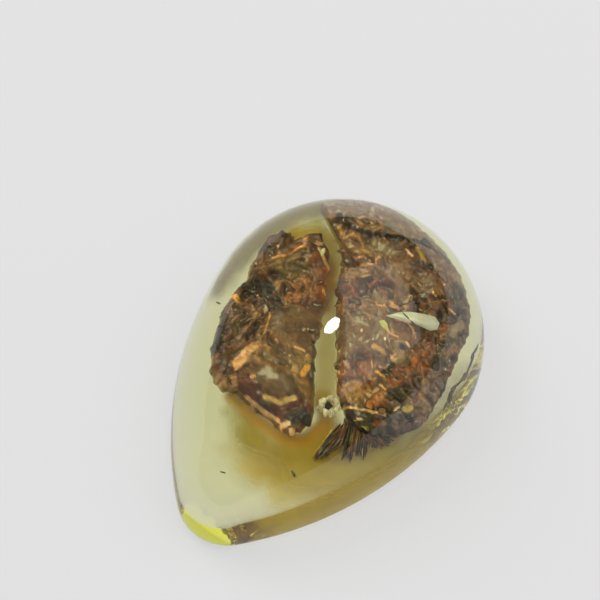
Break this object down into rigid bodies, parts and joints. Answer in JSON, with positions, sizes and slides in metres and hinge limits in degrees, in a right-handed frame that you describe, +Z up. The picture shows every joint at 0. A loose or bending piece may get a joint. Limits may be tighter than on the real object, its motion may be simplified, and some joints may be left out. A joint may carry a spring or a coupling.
{
  "type": "amber cabochon",
  "caption": "Teardrop cabochon of polished clear yellow amber with a flat base and crusts of bark, splinters and crumbs sealed inside.",
  "frame": {"origin": "under the middle of the stone's bounding box, on the flat base", "axes": "+Y along the stone's length towards its round end, +Z up through the dome, +X to the right when seen from the tip"},
  "size_m": [0.033, 0.046, 0.018],
  "materials": {
    "amber": "clear pale lemon-yellow amber, polished to a mirror gloss",
    "bark": "layered, wrinkled brown bark with glossy wet-looking highlights and reddish, ochre and grey patches",
    "splinter": "dark brown fibrous splinter with golden glossy edges",
    "chalk": "matt chalky white with a dark centre",
    "pale_flake": "smooth silvery pale flake crossed by a dark hair"
  },
  "bodies": {
    "root": {"amber_dome": "amber", "amber_base": "amber", "bark_left": "bark", "bark_right": "bark", "splinter_blade": "splinter", "splinter_tuft": "splinter", "edge_strand": "splinter", "chalk_crumb": "chalk", "pale_flake": "pale_flake", "speck_left": "splinter", "speck_middle": "splinter", "speck_tip": "splinter"}
  },
  "joints": []
}
